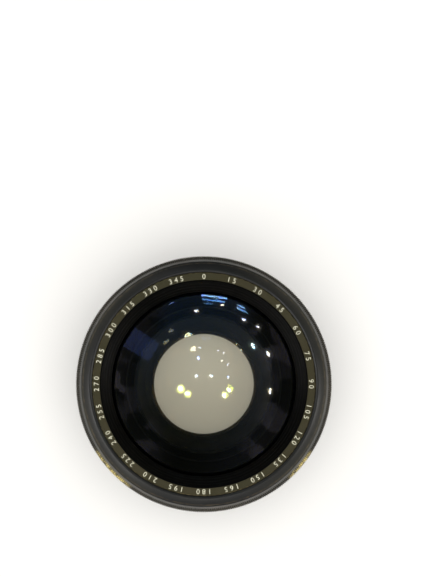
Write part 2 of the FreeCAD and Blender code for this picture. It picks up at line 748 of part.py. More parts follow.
def draw_flute(sketch):
    """V-shaped notch that points at the axis."""
    root = "Radii.grip - Sizes.flute_depth"
    half_width = "Sizes.flute_width / 2"
    tip = FreeCAD.Vector(value(root), 0, 0)
    low = FreeCAD.Vector(value("Radii.grip"), -value(half_width), 0)
    high = FreeCAD.Vector(low.x, -low.y, 0)
    for start, end in ((tip, low), (low, high), (high, tip)):
        sketch.addGeometry(Part.LineSegment(start, end))
    for edge in range(3):
        sketch.addConstraint(Sketcher.Constraint("Coincident", edge, 2, (edge + 1) % 3, 1))
    sketch.addConstraint(Sketcher.Constraint("PointOnObject", 0, 1, -1))
    sketch.addConstraint(Sketcher.Constraint("Symmetric", 1, 1, 1, 2, -1))
    dimension(sketch, "DistanceX", (-1, 1, 0, 1), root)
    dimension(sketch, "DistanceX", (-1, 1, 1, 1), "Radii.grip")
    dimension(sketch, "DistanceY", (1, 1, 1, 2), "Sizes.flute_width")


# Grub screws: slotted, one group for the mount ring and one for the grip ring.
def grub_screws(label, height, tip, head, forwards):
    body = new_body(label)
    body.AllowCompound = True
    shank = new_sketch(body, label + "_outline", "YZ_Plane", tip if forwards else f"-1 * ({tip})")
    draw_circle(shank, height, "Sizes.screw_radius")
    pad = body.newObject("PartDesign::Pad", label + "_shank")
    pad.Profile = shank
    pad.setExpression("Length", f"{head} - ({tip})")
    pad.Reversed = not forwards
    body.Tip = pad
    slot = new_sketch(body, label + "_slot_outline", "YZ_Plane", head if forwards else f"-1 * ({head})")
    reach = "(Sizes.screw_radius + Sizes.screw_gap)"
    draw_bar(slot, f"-1 * {reach}", reach, "Sizes.screw_slot_width", middle=height)
    slotted = cut(body, label + "_slot", slot, "Sizes.screw_slot_depth", not forwards)
    repeat(body, label + "_set", [pad, slotted], "Sizes.screw_count")


def all_screws():
    grub_screws("mount_screws", "Heights.mount_screws", "Radii.screw_groove + Sizes.seat_gap",
                "Radii.barrel_rear - Sizes.screw_sink", True)
    grub_screws("grip_screws", "Heights.grip_middle", "Radii.grip_seat + Sizes.seat_gap",
                "Radii.grip_groove - Sizes.screw_sink", False)


def check_and_export():
    doc.recompute()
    for thing in doc.Objects:
        if "Invalid" in thing.State or "Error" in thing.State:
            raise RuntimeError(f"{thing.Name} is {thing.State}")
    for piece in pieces:
        if piece.Shape.isNull() or not piece.Shape.isValid():
            raise RuntimeError(f"{piece.Label} has no valid shape")
    os.makedirs("parts", exist_ok=True)
    for piece in pieces:
        piece.Shape.exportStep(f"parts/{piece.Label}.step")
        print(piece.Label, "solids", len(piece.Shape.Solids), "volume", round(piece.Shape.Volume, 1))


mount_ring()
rear_cell()
rear_glass()
rear_spacer()
rear_retaining_ring()
main_barrel()
baffle_tube()
front_cell()
spacing_shim()
front_glass()
front_spacer()
front_retaining_ring()
name_ring()
front_bezel()
grip_ring()
all_screws()
check_and_export()
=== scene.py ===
import math

import bmesh
import bpy
from mathutils import Matrix, Vector


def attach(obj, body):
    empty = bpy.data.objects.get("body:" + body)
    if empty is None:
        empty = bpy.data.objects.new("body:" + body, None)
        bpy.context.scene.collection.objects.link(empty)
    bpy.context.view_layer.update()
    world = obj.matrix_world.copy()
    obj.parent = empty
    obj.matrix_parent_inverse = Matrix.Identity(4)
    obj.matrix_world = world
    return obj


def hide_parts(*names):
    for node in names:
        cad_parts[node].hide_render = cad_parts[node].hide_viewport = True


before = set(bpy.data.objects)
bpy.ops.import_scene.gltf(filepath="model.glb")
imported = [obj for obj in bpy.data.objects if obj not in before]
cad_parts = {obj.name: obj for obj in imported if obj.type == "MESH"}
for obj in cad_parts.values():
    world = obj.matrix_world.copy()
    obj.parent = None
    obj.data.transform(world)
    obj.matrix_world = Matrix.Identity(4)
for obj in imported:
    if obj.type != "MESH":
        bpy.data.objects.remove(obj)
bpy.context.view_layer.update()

mm = 0.001
scene = bpy.context.scene
pieces = {}


# Radii and heights of a turned CAD node, in millimetres: bore, outside, back, front
def span(node):
    points = [vert.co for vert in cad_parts[node].data.vertices]
    radii = [math.hypot(point.x, point.y) / mm for point in points]
    heights = [point.z / mm for point in points]
    return min(radii), max(radii), min(heights), max(heights)


# How far a sphere of that radius has fallen at that reach from the axis, a curve of 0 being flat
def sag(curve, reach):
    return curve - math.sqrt(curve ** 2 - reach ** 2) if curve else 0.0


# Spins an outline of radii and heights round the axis
def ringOf(shape, outline, steps, closed):
    corners = [shape.verts.new((radius * mm, 0, height * mm)) for radius, height in outline]
    pairs = list(zip(corners, corners[1:]))
    if closed:
        pairs.append((corners[-1], corners[0]))
    edges = [shape.edges.new(pair) for pair in pairs]
    bmesh.ops.spin(shape, geom=corners + edges, cent=(0, 0, 0), axis=(0, 0, 1), angle=2 * math.pi,
                   steps=steps, use_merge=True)
    bmesh.ops.remove_doubles(shape, verts=shape.verts, dist=1e-7)
    bmesh.ops.recalc_face_normals(shape, faces=shape.faces)


def soften(shape, width, segments=2, sharperThan=25):
    sharp = [edge for edge in shape.edges
             if edge.is_manifold and edge.calc_face_angle() > math.radians(sharperThan)]
    bmesh.ops.bevel(shape, geom=sharp, offset=width * mm, offset_type="OFFSET", segments=segments,
                    profile=0.5, affect="EDGES", material=-1, clamp_overlap=True)


def finishPiece(name, shape, finish, stands=(), smoothUpTo=40):
    mesh = bpy.data.meshes.new(name)
    shape.to_mesh(mesh)
    shape.free()
    mesh.shade_smooth()
    mesh.set_sharp_from_angle(angle=math.radians(smoothUpTo))
    piece = bpy.data.objects.new(name, mesh)
    scene.collection.objects.link(piece)
    for paint in (finish if isinstance(finish, list) else [finish]):
        mesh.materials.append(paint)
    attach(piece, "root")
    if stands:
        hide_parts(*stands)
    pieces[name] = piece
    return piece


def evenShading(piece):
    normals = piece.modifiers.new("even shading", "WEIGHTED_NORMAL")
    normals.keep_sharp = True


def turned(name, outline, finish, stands=(), steps=256, edge=0.08):
    shape = bmesh.new()
    ringOf(shape, outline, steps, True)
    soften(shape, edge)
    piece = finishPiece(name, shape, finish, stands)
    evenShading(piece)
    return piece


# Cuts round holes across a finished ring, evenly about the axis
def drill(piece, height, radius, bore, outside, count, firstTurn):
    fromReach, toReach = bore - 0.5, outside + 1.0      # past both faces of the ring
    middle = (fromReach + toReach) / 2
    shape = bmesh.new()
    for number in range(count):
        turn = math.radians(firstTurn + 360 / count * number)
        place = (Matrix.Rotation(turn, 4, "Z") @ Matrix.Translation((middle * mm, 0, height * mm))
                 @ Matrix.Rotation(math.radians(90), 4, "Y"))
        bmesh.ops.create_cone(shape, cap_ends=True, segments=32, radius1=radius * mm, radius2=radius * mm,
                              depth=(toReach - fromReach) * mm, matrix=place)
    mesh = bpy.data.meshes.new("drill")
    shape.to_mesh(mesh)
    shape.free()
    cutter = bpy.data.objects.new("drill", mesh)
    scene.collection.objects.link(cutter)
    holes = piece.modifiers.new("holes", "BOOLEAN")
    holes.operation = "DIFFERENCE"
    holes.solver = "EXACT"
    holes.object = cutter
    bpy.context.view_layer.update()
    cut = bpy.data.meshes.new_from_object(piece.evaluated_get(bpy.context.evaluated_depsgraph_get()))
    piece.modifiers.clear()
    piece.data = cut
    bpy.data.objects.remove(cutter)


# Node helpers for the finishes and the room
class Recipe:
    def __init__(self, paint, coordinates="Object"):
        self.paint = paint
        self.paint.use_nodes = True
        self.nodes = self.paint.node_tree.nodes
        self.links = self.paint.node_tree.links
        self.shader = self.nodes.get("Principled BSDF")
        self.place = self.nodes.new("ShaderNodeTexCoord").outputs[coordinates]

    # A socket takes a colour, a number or another socket
    def plug(self, source, socket):
        if isinstance(source, tuple):
            socket.default_value = (*source, 1.0)
        elif isinstance(source, (int, float)):
            socket.default_value = source
        else:
            self.links.new(source, socket)

    def math(self, kind, first, second=0.0):
        node = self.nodes.new("ShaderNodeMath")
        node.operation = kind
        self.plug(first, node.inputs[0])
        self.plug(second, node.inputs[1])
        return node.outputs[0]

    def split(self, vector):
        node = self.nodes.new("ShaderNodeSeparateXYZ")
        self.plug(vector, node.inputs[0])
        return node.outputs[0], node.outputs[1], node.outputs[2]

    # Distance from the axis of the lens, and height
    def reach(self):
        x, y, height = self.split(self.place)
        across = self.math("MULTIPLY", x, x)
        along = self.math("MULTIPLY", y, y)
        return self.math("SQRT", self.math("ADD", across, along)), height

    def noise(self, scale, detail=3.0, roughness=0.5, where=None, flat=False):
        node = self.nodes.new("ShaderNodeTexNoise")
        node.noise_dimensions = "1D" if flat else "3D"
        self.plug(where if where is not None else self.place, node.inputs["W" if flat else "Vector"])
        node.inputs["Scale"].default_value = scale
        node.inputs["Detail"].default_value = detail
        node.inputs["Roughness"].default_value = roughness
        return node.outputs[0]

    def ramp(self, value, low, high, bottom=0.0, top=1.0):
        node = self.nodes.new("ShaderNodeMapRange")
        node.interpolation_type = "SMOOTHSTEP"
        for socket, number in zip(("From Min", "From Max", "To Min", "To Max"), (low, high, bottom, top)):
            node.inputs[socket].default_value = number
        self.plug(value, node.inputs["Value"])
        return node.outputs["Result"]

    def mix(self, share, first, second):
        node = self.nodes.new("ShaderNodeMix")
        node.data_type = "RGBA"
        self.plug(share, node.inputs[0])
        self.plug(first, node.inputs[6])
        self.plug(second, node.inputs[7])
        return node.outputs[2]

    def bump(self, height, distance):
        node = self.nodes.new("ShaderNodeBump")
        node.inputs["Strength"].default_value = 1.0
        node.inputs["Distance"].default_value = distance * mm
        self.plug(height, node.inputs["Height"])
        return node.outputs[0]

    # The second shader for one kind of ray, the first for all others
    def forRays(self, kind, first, second):
        either = self.nodes.new("ShaderNodeMixShader")
        self.plug(self.nodes.new("ShaderNodeLightPath").outputs[kind], either.inputs[0])
        self.plug(first, either.inputs[1])
        self.plug(second, either.inputs[2])
        return either.outputs[0]

    # Fine lathe lines that follow the surface round, on a face as well as on a side
    def latheLines(self, pitch):
        reach, height = self.reach()
        along = self.math("ADD", self.math("MULTIPLY", reach, 1.0 / (pitch * mm)),
                          self.math("MULTIPLY", height, 0.83 / (pitch * mm)))
        return self.noise(1.0, 2.0, 0.6, along, flat=True)

    # Goes from none to one and back, that many times round the axis
    def roundWave(self, count):
        x, y, height = self.split(self.place)
        wave = self.math("COSINE", self.math("MULTIPLY", self.math("ARCTAN2", y, x), float(count)))
        return self.math("ADD", self.math("MULTIPLY", wave, 0.5), 0.5)

    # One towards that side of the axis, fading to none that many degrees away from it
    def onSide(self, azimuth, spread):
        x, y, height = self.split(self.place)
        across = self.math("MULTIPLY", x, math.cos(math.radians(azimuth)))
        along = self.math("MULTIPLY", y, math.sin(math.radians(azimuth)))
        share = self.math("DIVIDE", self.math("ADD", across, along), self.reach()[0])
        return self.ramp(share, math.cos(math.radians(spread)), math.cos(math.radians(spread / 3)))

    # One at that radius, fading to none that many millimetres away from it
    def atRadius(self, radius, width):
        off = self.math("ABSOLUTE", self.math("SUBTRACT", self.reach()[0], radius * mm))
        return self.ramp(off, 0.0, width * mm, 1.0, 0.0)


# Flecks of bare metal on a turned edge
def wornEdge(recipe, tint, radius, width, wearAndHighlightColour):
    flecks = recipe.ramp(recipe.noise(900.0, 3.0, 0.7), 0.42, 0.62)
    edge = recipe.math("MULTIPLY", recipe.atRadius(radius, width), flecks)
    return recipe.mix(recipe.math("MULTIPLY", edge, 0.75), tint, wearAndHighlightColour)


# Painted highlight: gold flecks on a ring, above a height, on sides given as azimuth and spread, standing in
# for warm lamps mirrored on its edge
def rubbedSides(recipe, tint, radius, width, above, wearAndHighlightColour, sides):
    flecks = recipe.ramp(recipe.noise(700.0, 3.0, 0.7), 0.36, 0.55)
    highlightPatch = recipe.math("MULTIPLY", recipe.atRadius(radius, width), flecks)
    highlightPatch = recipe.math("MULTIPLY", highlightPatch,
                        recipe.ramp(recipe.reach()[1], (above - 0.8) * mm, (above + 0.4) * mm))
    near = 0.0
    for azimuth, spread in sides:
        near = recipe.math("MAXIMUM", near, recipe.onSide(azimuth, spread))
    return recipe.mix(recipe.math("MULTIPLY", highlightPatch, near), tint, wearAndHighlightColour)


# Painted shade: the bottoms of the flutes are painted darker, outside a radius
def darkFlutes(recipe, tint, dark, count, outside):
    fluteShadeMask = recipe.math("MULTIPLY", recipe.math("SUBTRACT", 1.0, recipe.roundWave(count)),
                          recipe.ramp(recipe.reach()[0], outside * mm, (outside + 0.2) * mm))
    return recipe.mix(recipe.math("MULTIPLY", fluteShadeMask, 0.85), tint, dark)


def anodised(name, colour, second, roughness, lathe=0.12, depth=0.004, specular=0.5, metallic=0.0,
             worn=None, paintedHighlight=None, shadedFlutes=None):
    recipe = Recipe(bpy.data.materials.new(name))
    shader = recipe.shader
    patches = recipe.ramp(recipe.noise(60.0, 4.0, 0.6), 0.35, 0.7)
    grain = recipe.noise(5200.0, 2.0, 0.5)
    lines = recipe.latheLines(lathe)
    tint = recipe.mix(patches, colour, second)
    tint = recipe.mix(recipe.ramp(grain, 0.58, 0.72, 0.0, 0.28), tint,
                      tuple(min(1.0, 2.4 * channel) for channel in colour))
    if worn:
        tint = wornEdge(recipe, tint, **worn)
    # painted highlight: gold streaks on chosen sides of the ring's edge
    if paintedHighlight:
        tint = rubbedSides(recipe, tint, **paintedHighlight)
    # painted shade in the bottoms of the flutes
    if shadedFlutes:
        tint = darkFlutes(recipe, tint, tuple(0.12 * channel for channel in colour), **shadedFlutes)
    recipe.plug(tint, shader.inputs["Base Color"])
    uneven = recipe.ramp(recipe.noise(140.0, 4.0, 0.7), 0.3, 0.75, roughness - 0.06, roughness + 0.08)
    recipe.plug(recipe.math("ADD", uneven, recipe.math("MULTIPLY", lines, 0.06)), shader.inputs["Roughness"])
    shader.inputs["Specular IOR Level"].default_value = specular
    shader.inputs["Metallic"].default_value = metallic
    surface = recipe.math("ADD", lines, recipe.math("MULTIPLY", grain, 0.5))
    recipe.plug(recipe.bump(surface, depth), shader.inputs["Normal"])
    return recipe.paint


def paintedGlassRim():
    recipe = Recipe(bpy.data.materials.new("blackened glass rim"))
    grain = recipe.noise(1800.0, 3.0, 0.6)
    recipe.plug(recipe.mix(grain, (0.0002, 0.0002, 0.0002), (0.0005, 0.0005, 0.0005)),
                recipe.shader.inputs["Base Color"])
    recipe.shader.inputs["Specular IOR Level"].default_value = 0.01
    recipe.plug(recipe.ramp(grain, 0.3, 0.7, 0.55, 0.75), recipe.shader.inputs["Roughness"])
    recipe.plug(recipe.bump(grain, 0.01), recipe.shader.inputs["Normal"])
    return recipe.paint


glassTint, glassShade = (1.0, 0.992, 0.966), (0.946, 0.938, 0.914)


# Clear glass that bends what lies behind it, and lets the lamps through to the surface under the lens
def opticalGlass(name, index, coating, polish=0.0):
    recipe = Recipe(bpy.data.materials.new(name))
    shader = recipe.shader
    haze = recipe.noise(45.0, 4.0, 0.6)
    recipe.plug(recipe.mix(haze, glassTint, tuple(0.985 * channel for channel in glassTint)),
                shader.inputs["Base Color"])
    for socket, number in (("Transmission Weight", 1.0), ("Roughness", 0.0), ("IOR", index),
                           ("Thin Film Thickness", coating), ("Thin Film IOR", 1.38),
                           ("Coat Weight", polish), ("Coat Roughness", 0.055)):
        shader.inputs[socket].default_value = number
    clear = recipe.nodes.new("ShaderNodeBsdfTransparent")
    recipe.plug(glassShade, clear.inputs["Color"])
    recipe.plug(recipe.forRays("Is Shadow Ray", shader.outputs[0], clear.outputs[0]),
                recipe.nodes["Material Output"].inputs["Surface"])
    return recipe.paint


print("finishes")
satinSlate = anodised("satin slate anodised", (0.016, 0.0165, 0.018), (0.020, 0.020, 0.0195), 0.42,
                      specular=0.35, worn={"radius": 43.8, "width": 0.35, "wearAndHighlightColour": (0.11, 0.085, 0.05)})
oliveBronze = anodised("olive bronze anodised", (0.049, 0.044, 0.021), (0.059, 0.049, 0.024), 0.42, lathe=0.1,
                       specular=0.35, worn={"radius": 40.2, "width": 0.16, "wearAndHighlightColour": (0.30, 0.25, 0.12)})
barrelBlack = anodised("black anodised barrel", (0.014, 0.014, 0.0145), (0.020, 0.020, 0.019), 0.38)
# Lit and shaded copies of one matt black: the bore parts by the rear opening are painted lighter, as painted
# light, and the front cell and spacer darker, as painted shade
shadedInnerBlack = anodised("matt black inside with painted shade", (0.0025, 0.0025, 0.0022), (0.004, 0.004, 0.0035), 0.62, lathe=0.25,
                      depth=0.012, specular=0.12)
litBoreBlack = anodised("matt black bore with painted light", (0.016, 0.016, 0.013), (0.022, 0.021, 0.017), 0.60, lathe=0.25,
                     depth=0.012, specular=0.2)
ringBlack = anodised("black front ring", (0.0012, 0.0012, 0.0013), (0.0024, 0.0024, 0.0023), 0.40, lathe=0.18,
                     specular=0.07)
screwSteel = anodised("blackened screw steel", (0.10, 0.10, 0.10), (0.16, 0.15, 0.14), 0.35, metallic=1.0)
brass = anodised("rolled brass", (0.60, 0.45, 0.20), (0.50, 0.36, 0.16), 0.35, metallic=1.0)
creamPaint = anodised("cream figure paint", (0.92, 0.90, 0.70), (0.80, 0.78, 0.58), 0.55, lathe=0.4)
glassRim = paintedGlassRim()
domeFront = opticalGlass("front glass, outer face", 1.70, 110.0, polish=0.5)
domeRear = opticalGlass("front glass, inner face", 1.70, 110.0)
innerGlass = opticalGlass("second glass", 1.52, 105.0)
rearGlass = opticalGlass("rear glass", 1.62, 115.0)

print("glass")
glassSizes = {
    "steps": 192, "rings": 30,
    "domeFrontCurve": 80.0, "domeRearCurve": 39.0, "domeThickness": 4.5, "domeRearClear": 30.0,
    "secondFrontCurve": 300.0, "secondRearCurve": 220.0, "secondFrontClear": 30.5, "secondRearClear": 29.5,
    "crownFrontCurve": 110.0, "flintRearCurve": 260.0, "singleFrontCurve": 260.0,
}


# A glass element from its apexes, with bend 1 where a face's centre lies in front of it and -1 behind it
def glassPiece(name, rim, front, rear, finishes, stands):
    rings = glassSizes["rings"]
    outline = []
    for apex, curve, bend, clear in (front, rear):
        face = [(clear * k / rings, apex + bend * sag(curve, clear * k / rings)) for k in range(rings + 1)]
        if clear < rim:
            face.append((rim, face[-1][1]))
        outline.append(face)
    shape = bmesh.new()
    ringOf(shape, outline[0] + outline[1][::-1], glassSizes["steps"], False)
    steep, level = 0.2, 0.9999              # the z of a face's normal
    smallest = min(front[3], rear[3])
    for face in shape.faces:
        middle = face.calc_center_median() / mm
        reach = math.hypot(middle.x, middle.y)
        onRim = abs(face.normal.z) < steep and reach > 0.98 * rim
        onLand = abs(face.normal.z) > level and reach > smallest and smallest < rim
        face.material_index = 1 if onRim or onLand else 2 if face.normal.z > steep else 0
    return finishPiece(name, shape, [finishes[-1], glassRim, finishes[0]], stands, 30)


domeRim, domeApex = span("front_element")[1], span("front_element")[3]
glassPiece("domeGlass", domeRim,
           (domeApex, glassSizes["domeFrontCurve"], -1, domeRim),
           (domeApex - glassSizes["domeThickness"], glassSizes["domeRearCurve"], -1,
            glassSizes["domeRearClear"]),
           [domeFront, domeRear], ["front_element"])
secondRim, secondBack, secondFront = span("second_element")[1:]
glassPiece("secondGlass", secondRim,
           (secondFront - sag(glassSizes["secondFrontCurve"], glassSizes["secondFrontClear"]),
            glassSizes["secondFrontCurve"], 1, glassSizes["secondFrontClear"]),
           (secondBack + sag(glassSizes["secondRearCurve"], glassSizes["secondRearClear"]),
            glassSizes["secondRearCurve"], -1, glassSizes["secondRearClear"]),
           [innerGlass], ["second_element"])
rearRim = span("rear_crown_element")[1]
glassPiece("rearDoublet", rearRim,
           (span("rear_crown_element")[3], glassSizes["crownFrontCurve"], -1, rearRim),
           (span("rear_flint_element")[2], glassSizes["flintRearCurve"], 1, rearRim),
           [rearGlass], ["rear_crown_element", "rear_flint_element"])
glassPiece("rearSingle", rearRim,
           (span("rear_single_element")[3], glassSizes["singleFrontCurve"], -1, rearRim),
           (span("rear_single_element")[2], 0.0, 1, rearRim),
           [rearGlass], ["rear_single_element"])

print("front rings")
frontSteps = 320
bezelSizes = {"rimWidth": 0.95, "rimChamfer": 0.5, "sideHeight": 6.6, "undercut": 0.5, "shoulderCurve": 8.0,
              "shoulderSteps": 12, "skirtWall": 1.45}
bezelBore, bezelOut, skirtBack, rimFront = span("front_bezel")
gripBore, gripOut, gripBack, gripFront = span("grip_ring")


# Arc between two points of an outline, bulging outwards, without its two ends
def shoulder(start, end, radius, count):
    start, end = Vector(start), Vector(end)
    half = (end - start) / 2
    across = Vector((half.y, -half.x)).normalized()
    if across.x > 0:
        across = -across
    centre = start + half + across * math.sqrt(radius ** 2 - half.length_squared)
    spoke = start - centre
    whole = spoke.angle_signed(end - centre)
    arc = []
    for number in range(1, count):
        arm = spoke.copy()
        arm.rotate(Matrix.Rotation(-whole * number / count, 2))
        arc.append(tuple(centre + arm))
    return arc


sideFront = (bezelOut, gripFront + bezelSizes["sideHeight"])
rimEdge = (bezelBore + bezelSizes["rimWidth"], rimFront)
undercutReach = bezelOut - bezelSizes["undercut"]
undercutFront = gripFront + bezelSizes["undercut"]
skirtReach = bezelBore + bezelSizes["skirtWall"]
turned("bezel", [
    (bezelBore, skirtBack), (skirtReach, skirtBack), (skirtReach, gripFront), (undercutReach, gripFront),
    (undercutReach, undercutFront), (bezelOut, undercutFront), sideFront,
    *shoulder(sideFront, rimEdge, bezelSizes["shoulderCurve"], bezelSizes["shoulderSteps"]), rimEdge,
    (bezelBore + bezelSizes["rimChamfer"], rimFront), (bezelBore, rimFront - bezelSizes["rimChamfer"]),
], satinSlate, ["front_bezel"], steps=frontSteps)

nameBore, nameOut, nameBack, nameFront = span("name_ring")
nameSizes = {"chamfer": 0.3}
turned("dialRing", [
    (nameBore, nameBack), (nameOut, nameBack), (nameOut, nameFront - nameSizes["chamfer"]),
    (nameOut - nameSizes["chamfer"], nameFront), (nameBore, nameFront),
], oliveBronze, ["name_ring"], steps=frontSteps, edge=0.06)

holderSizes = {"edge": 0.4, "gap": 0.05, "seatGap": 0.05, "backGap": 0.3, "steps": 3, "stepDepth": 0.12}
holderBore, holderOut, holderBack, holderFront = span("front_retaining_ring")
holderCollar = nameBore - holderSizes["gap"]
collarBack = nameBack - holderSizes["backGap"]
lipBack = domeApex - sag(glassSizes["domeFrontCurve"], holderBore) + holderSizes["seatGap"]
dishStart = (holderBore, lipBack + holderSizes["edge"])
dishEnd = (holderCollar - holderSizes["edge"], holderFront)
halfStep = holderSizes["stepDepth"] / 2
slope = []                                  # shallow turned steps on the dished face
for number in range(1, holderSizes["steps"] + 1):
    share = number / (holderSizes["steps"] + 1)
    reach = dishStart[0] + (dishEnd[0] - dishStart[0]) * share
    height = dishStart[1] + (dishEnd[1] - dishStart[1]) * share
    slope = [(reach, height + halfStep), (reach, height - halfStep)] + slope
turned("glassHolder", [
    (holderBore, lipBack), (domeRim, holderBack), (holderOut, holderBack), (holderOut, collarBack),
    (holderCollar, collarBack), (holderCollar, holderFront), dishEnd, *slope, dishStart,
], ringBlack, ["front_retaining_ring"], steps=frontSteps, edge=0.04)

print("dial figures")
dialSizes = {"every": 15, "digitHeight": 1.8, "digitPitch": 3.1, "proud": 0.012}
fontDepth = 0.01                            # of a figure before it is scaled


def digitMesh(digit):
    words = bpy.data.curves.new("figure", "FONT")
    words.body = digit
    words.extrude = fontDepth
    words.align_x = "CENTER"
    holder = bpy.data.objects.new("figure", words)
    scene.collection.objects.link(holder)
    bpy.context.view_layer.update()
    mesh = bpy.data.meshes.new_from_object(holder.evaluated_get(bpy.context.evaluated_depsgraph_get()))
    bpy.data.objects.remove(holder)
    return mesh


def dialFigures():
    shape = bmesh.new()
    meshes = {digit: digitMesh(digit) for digit in "0123456789"}
    heights = [vert.co.y for vert in meshes["0"].vertices]
    scale = dialSizes["digitHeight"] * mm / (max(heights) - min(heights))
    middle = (nameBore + nameOut - nameSizes["chamfer"]) / 2 * mm
    for degrees in range(0, 360, dialSizes["every"]):
        figures = str(degrees)
        for number, digit in enumerate(figures):
            along = (number - (len(figures) - 1) / 2) * dialSizes["digitPitch"]
            turn = math.radians(-degrees - along)
            place = (Matrix.Rotation(turn, 4, "Z")
                     @ Matrix.Translation((0, middle - dialSizes["digitHeight"] * mm / 2, nameFront * mm))
                     @ Matrix.Diagonal((scale, scale, dialSizes["proud"] * mm / fontDepth, 1)))
            first = len(shape.verts)
            shape.from_mesh(meshes[digit])
            shape.verts.ensure_lookup_table()
            bmesh.ops.transform(shape, matrix=place, verts=shape.verts[first:])
    bmesh.ops.remove_doubles(shape, verts=shape.verts, dist=1e-6)
    return finishPiece("dialFigures", shape, creamPaint)


dialFigures()

print("grip")
gripSizes = {"ridges": 400, "depth": 0.42, "chamfer": 1.2, "edge": 0.25, "gapDepth": 0.9, "gapWidth": 2.8,
             "holes": 3, "firstHole": 180, "holeRadius": 1.05}
gripBlack = anodised("black anodised grip", (0.048, 0.046, 0.040), (0.064, 0.056, 0.046), 0.34, lathe=0.3,
                     # painted highlight: gold streaks on two sides of the grip's front edge
                     paintedHighlight={"radius": 46.3, "width": 1.1, "above": gripFront - 1.1,
                             "wearAndHighlightColour": (0.86, 0.70, 0.27), "sides": ((223, 13), (320, 9))},
                     # painted shade in the bottoms of the grip's flutes
                     shadedFlutes={"count": gripSizes["ridges"], "outside": 45.4})


def gripRing():
    middle = (gripBack + gripFront) / 2
    gapBack, gapFront = middle - gripSizes["gapWidth"] / 2, middle + gripSizes["gapWidth"] / 2
    chamfer, edge, gap = gripSizes["chamfer"], gripSizes["edge"], gripOut - gripSizes["gapDepth"]
    shape = bmesh.new()
    ringOf(shape, [
        (gripBore, gripBack), (gripOut - chamfer, gripBack), (gripOut - chamfer / 2, gripBack),
        (gripOut, gripBack + chamfer / 2), (gripOut, gapBack - edge), (gripOut - edge, gapBack),
        (gap, gapBack), (gap, gapFront), (gripOut - edge, gapFront), (gripOut, gapFront + edge),
        (gripOut, gripFront - chamfer), (gripOut - chamfer, gripFront), (gripBore, gripFront),
    ], 2 * gripSizes["ridges"], True)
    for vert in shape.verts:                # every other column is pushed in
        reach = math.hypot(vert.co.x, vert.co.y) / mm
        column = round(math.atan2(vert.co.y, vert.co.x) / math.pi * gripSizes["ridges"])
        if column % 2 and reach > gripOut - chamfer - 0.01:
            vert.co.xy *= 1 - gripSizes["depth"] / reach
    piece = finishPiece("gripRing", shape, gripBlack, ["grip_ring"], 24)
    drill(piece, middle, gripSizes["holeRadius"], gripBore, gripOut, gripSizes["holes"],
          gripSizes["firstHole"])
    return piece


gripRing()

print("barrel")
barrelSizes = {"edge": 0.5, "land": 8.0, "landWall": 2.9, "grooveDepth": 0.5, "grooveWidth": 0.8,
               "collarHeight": 1.8, "collarStep": 1.0, "wall": 2.0, "seatGap": 0.05, "seatDepth": 7.2,
               "floorFront": 11.2, "threadDepth": 9.0, "holes": 3, "firstHole": 0, "holeRadius": 1.05}
barrelBack = span("main_barrel")[2]


def mainBarrel():
    bore, collar, back, front = span("main_barrel")
    spigot = max(math.hypot(vert.co.x, vert.co.y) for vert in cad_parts["mount_ring"].data.vertices
                 if vert.co.z > (back + 0.1) * mm) / mm + barrelSizes["seatGap"]
    land = spigot + barrelSizes["landWall"]
    landFront = back + barrelSizes["land"]
    grooveFront = landFront - barrelSizes["grooveWidth"]
    grooveBack = grooveFront - barrelSizes["grooveWidth"]
    grooveFloor = land - barrelSizes["grooveDepth"]
    flareFront = gripBack - barrelSizes["collarHeight"]
    seat = gripBore - barrelSizes["seatGap"]
    skirt = skirtReach + barrelSizes["seatGap"]
    threadBore, threadFront = span("spacing_shim")[0], span("spacing_shim")[2]
    floorFront = back + barrelSizes["floorFront"]
    seatFront = back + barrelSizes["seatDepth"]
    piece = turned("barrel", [
        (spigot, back), (land - barrelSizes["edge"], back), (land, back + barrelSizes["edge"]),
        (land, grooveBack), (grooveFloor, grooveBack), (grooveFloor, grooveFront), (land, grooveFront),
        (land, landFront), (collar - barrelSizes["collarStep"], flareFront), (collar, flareFront),
        (collar, gripBack), (seat, gripBack), (seat, front), (skirt, front), (skirt, threadFront),
        (threadBore, threadFront), (threadBore, threadFront - barrelSizes["threadDepth"]),
        (land - barrelSizes["wall"], floorFront), (bore, floorFront), (bore, seatFront), (spigot, seatFront),
    ], barrelBlack, ["main_barrel"], edge=0.1)
    screws = span("mount_screws")
    drill(piece, (screws[2] + screws[3]) / 2, barrelSizes["holeRadius"], spigot, land, barrelSizes["holes"],
          barrelSizes["firstHole"])
    return piece


mainBarrel()

print("mount ring")
mountSizes = {"chamfer": 0.4, "relief": 0.6, "setIn": 0.4, "flangeThickness": 2.5, "spigotOut": 32.25,
              "spigotIn": 30.35, "leadIn": 0.2, "leadInHeight": 0.3, "threadRadius": 29.0, "pitch": 0.75,
              "threadDepth": 0.45}
flangeBack = barrelBack - mountSizes["flangeThickness"]
threadCrest = mountSizes["threadRadius"]
threadRoot = threadCrest - mountSizes["threadDepth"]
threadEnd = flangeBack - mountSizes["relief"]


def mountRing():
    bore, flange, back, front = span("mount_ring")
    reliefIn, reliefOut = threadCrest - mountSizes["relief"], threadCrest + mountSizes["relief"]
    reliefFront = flangeBack + mountSizes["setIn"]
    spigotOut, spigotIn = mountSizes["spigotOut"], mountSizes["spigotIn"]
    shape = bmesh.new()
    ringOf(shape, [
        (bore, back), (threadRoot - mountSizes["leadIn"], back),
        (threadRoot, back + mountSizes["leadInHeight"]), (threadRoot, threadEnd), (reliefIn, threadEnd),
        (reliefIn, reliefFront), (reliefOut, reliefFront), (reliefOut, flangeBack),
        (flange - mountSizes["chamfer"], flangeBack), (flange, flangeBack + mountSizes["chamfer"]),
        (flange, barrelBack), (spigotOut, barrelBack), (spigotOut, front), (spigotIn, front),
        (spigotIn, barrelBack), (bore, barrelBack),
    ], 256, True)
    soften(shape, 0.08)
    piece = finishPiece("mountRing", shape, barrelBlack, ["mount_ring"])
    evenShading(piece)
    return piece


ridgeSizes = {"sunk": 0.1, "crestGap": 0.05, "heights": (0.12, 0.42, 0.52, 0.82), "stepsPerTurn": 128}


